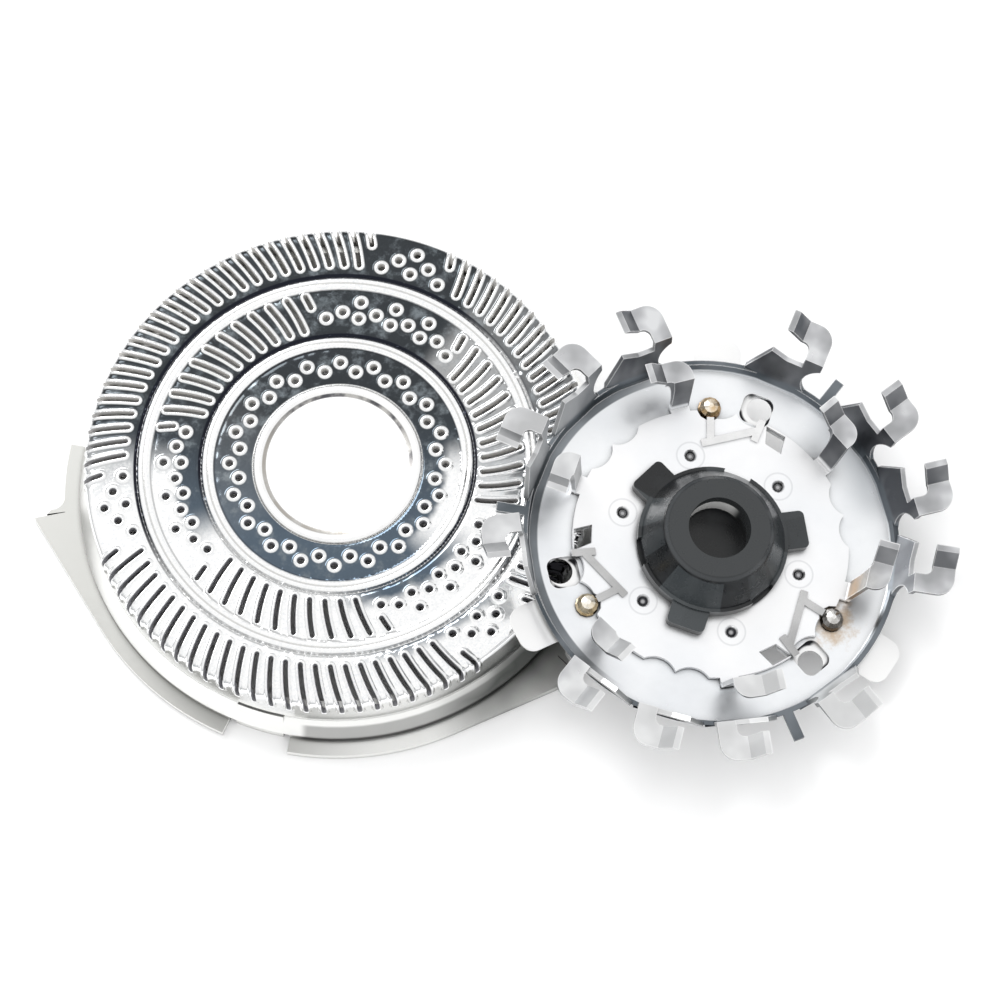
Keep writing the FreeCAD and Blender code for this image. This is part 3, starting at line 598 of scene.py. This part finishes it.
def profile(s):
    """(radius, height, slope direction) of the cap's outer surface."""
    if s <= FLAT_END:
        z = TOP
        for inner, outer in BEADS:
            if inner < s < outer:
                z += bead((s - inner) / (outer - inner))
        if s < WELL_SLOPE_END:
            t = (s - WELL_RADIUS) / (WELL_SLOPE_END - WELL_RADIUS)
            z -= WELL_DROP * max(0.0, 1 - t / 0.3)
        for _, outer in BEADS:
            z -= TRACK_FALL * max(0.0, s - outer)
        return s, z, (0.0, 1.0)
    bend = min(1.0, (s - FLAT_END) / BEND)
    turn = bend * math.pi / 2
    radius = FLAT_END + SHOULDER * math.sin(turn)
    height = TOP - EDGE_DROP * (1 - bend) - SHOULDER * (1 - math.cos(turn))
    if bend >= 1.0:
        height -= s - FLAT_END - BEND
    return radius, height, (math.sin(turn), math.cos(turn))


def surface_length(radius):
    """Length along the profile at a radius on the flat or the shoulder."""
    if radius <= FLAT_END:
        return radius
    ratio = min(1.0, (radius - FLAT_END) / SHOULDER)
    return FLAT_END + math.asin(ratio) * SHOULDER


class Opening:
    """A slot or hole given by a line of points in the unrolled cap, with a half width."""

    def __init__(self, points, half, lip):
        self.points = points
        self.half = half
        self.lip = lip
        xs = [p[0] for p in points]
        ys = [p[1] for p in points]
        reach = half + lip + 0.1
        self.box = (min(xs) - reach, min(ys) - reach, max(xs) + reach, max(ys) + reach)

    def distance(self, x, y):
        """Distance from the opening's edge; negative inside."""
        low_x, low_y, high_x, high_y = self.box
        if x < low_x or x > high_x or y < low_y or y > high_y:
            return FAR
        best = FAR
        points = self.points
        if len(points) == 1:
            best = math.hypot(x - points[0][0], y - points[0][1])
        for (ax, ay), (bx, by) in zip(points, points[1:]):
            dx, dy = bx - ax, by - ay
            t = ((x - ax) * dx + (y - ay) * dy) / (dx * dx + dy * dy)
            t = max(0.0, min(1.0, t))
            best = min(best, math.hypot(x - ax - t * dx, y - ay - t * dy))
        return best - self.half

    def loop(self, offset):
        """Closed outline at a distance from the opening's edge."""
        reach = self.half + offset
        points = self.points
        if len(points) == 1:
            x, y = points[0]
            turns = [2 * math.pi * i / HOLE_CORNERS for i in range(HOLE_CORNERS)]
            return [(x + reach * math.cos(a), y + reach * math.sin(a)) for a in turns]
        left, right = [], []
        for i, (x, y) in enumerate(points):
            ax, ay = points[max(0, i - 1)]
            bx, by = points[min(len(points) - 1, i + 1)]
            length = math.hypot(bx - ax, by - ay)
            nx, ny = -(by - ay) / length, (bx - ax) / length
            left.append((x + nx * reach, y + ny * reach))
            right.append((x - nx * reach, y - ny * reach))
        ends = []
        for tip, before in ((points[-1], points[-2]), (points[0], points[1])):
            angle = math.atan2(tip[1] - before[1], tip[0] - before[0])
            ends.append([
                (tip[0] + reach * math.cos(angle + turn), tip[1] + reach * math.sin(angle + turn))
                for turn in (-math.pi / 3, -math.pi / 6, 0, math.pi / 6, math.pi / 3)])
        return right + ends[0] + left[::-1] + ends[1]


def slot_line(angle, inner, start, outer, slant, bow, down):
    """Middle line of a slot that starts at a radius, leans over and may run down the skirt."""
    turn = math.radians(angle)
    lean = math.tan(math.radians(slant))
    line = []
    count = max(4, int((outer - start) / SLOT_STEP))
    for i in range(count + 1):
        along = start + (outer - start) * i / count
        side = (along - inner) * lean
        t = (along - inner) / (outer - inner)
        side -= bow * 4 * t * (1 - t)
        radius = math.hypot(along, side)
        if radius > CAP_RADIUS:
            break
        theta = turn + math.atan2(side, along)
        s = surface_length(radius)
        line.append((s, theta))
    if down > 0:
        last_s, theta = line[-1]
        full = surface_length(CAP_RADIUS)
        for extra in (0.0, down * 0.5, down):
            if full + extra > last_s + 0.05:
                line.append((full + extra, theta))
    return [(s * math.cos(a), s * math.sin(a)) for s, a in line]


def all_openings():
    """Every slot and hole of the guard."""
    found = []

    def group(pitch, full, inner, short, outer, slant, bow, down):
        gap = 120.0 - (full + 1) * pitch
        for patch in PATCHES:
            for i in range(full + 2):
                start = short if i in (0, full + 1) else inner
                line = slot_line(patch + gap / 2 + pitch * i, inner, start, outer, slant, bow, down)
                found.append(Opening(line, SLOT_WIDTH / 2, LIP_WIDTH))

    def hole(radius, angle):
        turn = math.radians(angle)
        found.append(Opening([(radius * math.cos(turn), radius * math.sin(turn))], HOLE_RADIUS, HOLE_LIP))

    beyond = CAP_RADIUS + 0.2
    outer_pitch, middle_pitch, inner_pitch = 4.0, 6.0, 9.0
    group(pitch=outer_pitch, full=24, inner=11.6, short=12.85, outer=beyond, slant=17.0, bow=0.06, down=0.75)
    group(pitch=middle_pitch, full=10, inner=7.9, short=9.2, outer=9.9, slant=15.0, bow=0.06, down=0.0)
    low, mid, high = 11.64, 12.24, 12.82
    for patch in PATCHES:
        for i, radii in enumerate([(low,), (mid,), (low, high), (mid,), (low,)]):
            for radius in radii:
                hole(radius, patch + outer_pitch * (i - 2))
    low, mid, high = 8.48, 8.82, 9.44
    side = [(low,), (mid,), (low, high), (mid,)]
    for patch in PATCHES:
        for i, radii in enumerate(side + [(low, high)] + side[::-1]):
            for radius in radii:
                hole(radius, patch + middle_pitch * (i - 4))
    for i in range(40):
        hole((5.38, 5.86)[i % 2], 7.7 + inner_pitch * i)
    return found


class Field:
    """Looks up the nearest opening through a coarse grid."""

    CELL = 1.0

    def __init__(self, openings):
        self.cells = {}
        for opening in openings:
            x0, y0, x1, y1 = [math.floor(v / self.CELL) for v in opening.box]
            for i in range(x0, x1 + 1):
                for j in range(y0, y1 + 1):
                    self.cells.setdefault((i, j), []).append(opening)

    def distance(self, x, y):
        found = self.cells.get((math.floor(x / self.CELL), math.floor(y / self.CELL)), ())
        return min([opening.distance(x, y) * LIP_WIDTH / opening.lip for opening in found], default=FAR)


def lip_height(distance):
    """Raised lip round an opening: it turns in at the edge and falls to the land."""
    if distance >= LIP_WIDTH:
        return 0.0
    t = max(0.0, distance) / LIP_WIDTH
    return LIP_HEIGHT * (math.sin(math.pi * (0.22 + 0.78 * t)) ** 1.2)


def circle(s, count, shift=0.0):
    """Points round the unrolled cap; the shift is a share of their spacing."""
    angles = [2 * math.pi * (k + shift) / count for k in range(count)]
    return [(s * math.cos(a), s * math.sin(a)) for a in angles]


def foil_points(openings, field):
    """Points of the unrolled cap, and the edges that its mesh must keep."""
    points, edges = [], []

    def loop(outline):
        first = len(points)
        points.extend(outline)
        count = len(outline)
        edges.extend((first + i, first + (i + 1) % count) for i in range(count))

    for opening in openings:
        for row in LIP_ROWS:
            loop(opening.loop(row * opening.lip))
    for s in (WELL_RADIUS, PROFILE_END):
        loop(circle(s, 240))
    steps = 22
    for inner, outer in BEADS:
        for i in range(steps + 1):
            ring = circle(inner + (outer - inner) * i / steps, 200, 0.5 * (i % 2))
            points.extend(p for p in ring if field.distance(*p) > LIP_WIDTH + 0.07)
    radii = [WELL_RADIUS + 0.05 * i for i in range(1, 7)]
    radii += [WELL_SLOPE_END + 0.18 * i for i in range(10)]
    radii += [7.55 + 0.2 * i for i in range(13)] + [11.05 + 0.2 * i for i in range(12)]
    radii += [FLAT_END + BEND * i / 8 for i in range(9)]
    radii += [FLAT_END + BEND + 0.15 * i for i in range(1, 8)] + [PROFILE_END - 0.8, PROFILE_END - 0.3]
    for s in radii:
        ring = circle(s, int(2 * math.pi * s / 0.2), 0.37 * s)
        points.extend(p for p in ring if field.distance(*p) > LIP_WIDTH + 0.09)
    return points, edges


def folded(x, y, lift):
    """A point of the unrolled cap on its outer side, raised by a lift, and on its under side."""
    s = math.hypot(x, y)
    radius, height, (out, up) = profile(max(s, WELL_RADIUS))
    cos, sin = x / s, y / s
    # The lips stay inside the cap's own radius on the skirt
    top = radius + (lift - SKIRT_INSET) * out
    low = radius - SHEET * 0.8 * out
    return (
        (top * cos, top * sin, height + lift * up),
        (low * cos, low * sin, height - SHEET * up))


def foil_mesh():
    """Cap with a raised lip round each slot and hole, as one closed shell."""
    openings = all_openings()
    field = Field(openings)
    points, edges = foil_points(openings, field)
    result = delaunay_2d_cdt([Vector(p) for p in points], edges, [], 0, 1e-5)
    flat = [(v.x, v.y) for v in result[0]]
    faces = []
    for face in result[2]:
        x = sum(flat[i][0] for i in face) / 3
        y = sum(flat[i][1] for i in face) / 3
        if WELL_RADIUS <= math.hypot(x, y) <= PROFILE_END and field.distance(x, y) >= 0:
            faces.append(tuple(face))
    used = sorted({i for face in faces for i in face})
    index = {old: new for new, old in enumerate(used)}
    count = len(used)
    sides = [folded(*flat[i], lip_height(field.distance(*flat[i]))) for i in used]
    verts = [side[0] for side in sides] + [side[1] for side in sides]
    tops = [tuple(index[i] for i in face) for face in faces]
    lows = [tuple(count + i for i in face[::-1]) for face in tops]
    seen = dict.fromkeys(pair for face in tops for pair in zip(face, face[1:] + face[:1]))
    walls = [(a, a + count, b + count, b) for a, b in seen if (b, a) not in seen]
    all_faces = tops + lows + walls
    mesh = bpy.data.meshes.new("foil_cap")
    mesh.from_pydata([Vector(v) * MM + GUARD for v in verts], [], all_faces)
    mesh.update()
    smooth = [True] * (len(tops) + len(lows)) + [False] * len(walls)
    mesh.polygons.foreach_set("use_smooth", smooth)
    mesh.polygons.foreach_set("material_index", [0] * len(tops) + [1] * (len(lows) + len(walls)))
    gaps = mesh.attributes.new("gap", "FLOAT", "POINT")
    reach = [max(0.0, min(1.0, field.distance(*flat[i]))) for i in used]
    gaps.data.foreach_set("value", reach + [-1.0] * count)
    return mesh


def lathe(name, outline, place, segments):
    """Turned ring from a closed line of (radius, height) points."""
    verts, faces = [], []
    rows = len(outline)
    for k in range(segments):
        angle = 2 * math.pi * k / segments
        way = Vector((math.cos(angle), math.sin(angle), 0))
        verts += [(way * r + Vector((0, 0, z))) * MM + place for r, z in outline]
    for k in range(segments):
        here, there = k * rows, ((k + 1) % segments) * rows
        for i in range(rows):
            j = (i + 1) % rows
            faces.append((here + i, there + i, there + j, here + j))
    mesh = bpy.data.meshes.new(name)
    mesh.from_pydata(verts, [], faces)
    mesh.update()
    mesh.polygons.foreach_set("use_smooth", [True] * len(faces))
    return mesh


def add_piece(mesh, material, replaced=()):
    """Put a new mesh on the part, in place of the solids it replaces."""
    piece = bpy.data.objects.new(mesh.name, mesh)
    scene.collection.objects.link(piece)
    mesh.materials.append(material)
    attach(piece, "root")
    if replaced:
        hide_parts(*replaced)
    return piece


def dress(name, material):
    """Give a carried-over solid its finish."""
    node = nodes[name]
    if not node.material_slots:
        node.data.materials.append(material)
    for slot in node.material_slots:
        slot.link = "OBJECT"
        slot.material = material


def make_world():
    """White surroundings that grow grey towards the horizon."""
    world = bpy.data.worlds.new("studio")
    scene.world = world
    world.use_nodes = True
    tree = world.node_tree
    tree.nodes.clear()
    new, link = tree.nodes.new, tree.links.new
    output = new("ShaderNodeOutputWorld")
    coords = new("ShaderNodeTexCoord").outputs["Generated"]
    lift = new("ShaderNodeSeparateXYZ")
    link(coords, lift.inputs[0])
    horizon = new("ShaderNodeValToRGB")
    link(lift.outputs[2], horizon.inputs["Fac"])
    horizon.color_ramp.elements[0].position = 0.05
    horizon.color_ramp.elements[0].color = (0.45, 0.46, 0.47, 1)
    horizon.color_ramp.elements[1].position = 0.55
    horizon.color_ramp.elements[1].color = (1.0, 1.0, 1.0, 1)
    light = new("ShaderNodeBackground")
    link(horizon.outputs[0], light.inputs["Color"])
    white = new("ShaderNodeBackground")
    white.inputs["Color"].default_value = (1, 1, 1, 1)
    white.inputs["Strength"].default_value = 1.0
    path = new("ShaderNodeLightPath")
    power = new("ShaderNodeMath")
    power.operation = "MULTIPLY_ADD"
    link(path.outputs["Is Glossy Ray"], power.inputs[0])
    power.inputs[1].default_value = -0.25
    power.inputs[2].default_value = 1.25
    link(power.outputs[0], light.inputs["Strength"])
    choose = new("ShaderNodeMixShader")
    link(path.outputs["Is Camera Ray"], choose.inputs[0])
    link(light.outputs[0], choose.inputs[1])
    link(white.outputs[0], choose.inputs[2])
    link(choose.outputs[0], output.inputs[0])


def make_floor():
    """Plain pale floor, white to the camera apart from the soft shadow."""
    size = 1.2
    mesh = bpy.data.meshes.new("floor")
    corners = [(-size, -size, 0), (size, -size, 0), (size, size, 0), (-size, size, 0)]
    mesh.from_pydata(corners, [], [(0, 1, 2, 3)])
    floor = bpy.data.objects.new("floor", mesh)
    scene.collection.objects.link(floor)
    n = Nodes("pale_floor")
    grain = n.noise(n.coords, 60.0, 3.0)
    colour = n.ramp(grain, (0.3, (0.955,)), (0.7, (0.97,)))
    mesh.materials.append(n.set(colour=colour, metal=0.0, rough=0.9))


def make_lights():
    """One broad soft lamp from the upper left and behind."""
    data = bpy.data.lights.new("softbox", "AREA")
    data.shape = "DISK"
    data.size = 0.3
    data.energy = 1.5
    lamp = bpy.data.objects.new("softbox", data)
    lamp.location = (-0.22, 0.38, 0.56)
    lamp.rotation_euler = (Vector((0, 0, 0)) - lamp.location).to_track_quat("-Z", "Y").to_euler()
    scene.collection.objects.link(lamp)


make_camera()
make_world()
make_lights()
make_floor()

cap = add_piece(foil_mesh(), polished_steel(), ["guard_cap"])
cap.data.materials.append(matt_inside())

bezel = lathe("rolled_bezel", [
    (4.56, 4.32), (4.56, 4.76), (4.54, 4.81), (4.48, 4.85), (4.34, 4.87), (4.20, 4.86), (4.13, 4.84),
    (4.09, 4.825), (3.88, 4.808), (3.86, 4.806), (3.86, 4.803), (4.03, 4.803), (4.03, 4.32)], GUARD, 160)
add_piece(bezel, bezel_steel(), ["centre_bezel"])
dress("centre_disc", finish_material(
    "silver_disc", GUARD, GUARD_TURN, (0.96, 0.96, 0.95), (0.90, 0.90, 0.90),
    (0.35, 0.5), grain=3.0, bump=0.004, metal=0.2))
dress("eared_frame", frame_steel())
dress("centring_bush", finish_material(
    "bush_steel", GUARD, GUARD_TURN, (0.9, 0.9, 0.88), (0.8, 0.8, 0.78),
    (0.4, 0.6), grain=2.0, bump=0.006, metal=0.2))
dress("outer_cutter", cutter_steel())
dress("middle_cutter", plate_steel())
dress("underlay_plate", underlay_steel())
black = black_plastic()
dress("centre_hub", black)
dress("drive_coupling", black)
dress("rivet_1", rivet_metal(
    "gold_rivet", (0.35, (0.36, 0.20, 0.07)), (0.62, (0.72, 0.50, 0.26)), (0.85, (0.97, 0.92, 0.82))))
dress("rivet_2", rivet_metal(
    "pale_gold_rivet", (0.35, (0.50, 0.36, 0.18)), (0.6, (0.83, 0.70, 0.48)), (0.8, (0.98, 0.95, 0.88))))
dress("rivet_3", rivet_metal(
    "steel_rivet", (0.35, (0.12, 0.09, 0.06)), (0.6, (0.30, 0.28, 0.26)), (0.85, (0.90, 0.89, 0.87))))
# The three leaves are one steel, painted in a lit, a middle and a shaded tone
for index, (tint, dark) in enumerate(((0.93, 0.72), (0.80, 0.42), (0.66, 0.30)), 1):
    leaf = finish_material(
        "spring_steel_light_and_shade_%d" % index, CUTTER, CUTTER_TURN, (tint,) * 3, (dark,) * 3,
        (0.2, 0.3), grain=1.0, bump=0.003)
    dress("float_spring_%d" % index, leaf)

scene.view_settings.view_transform = "Standard"
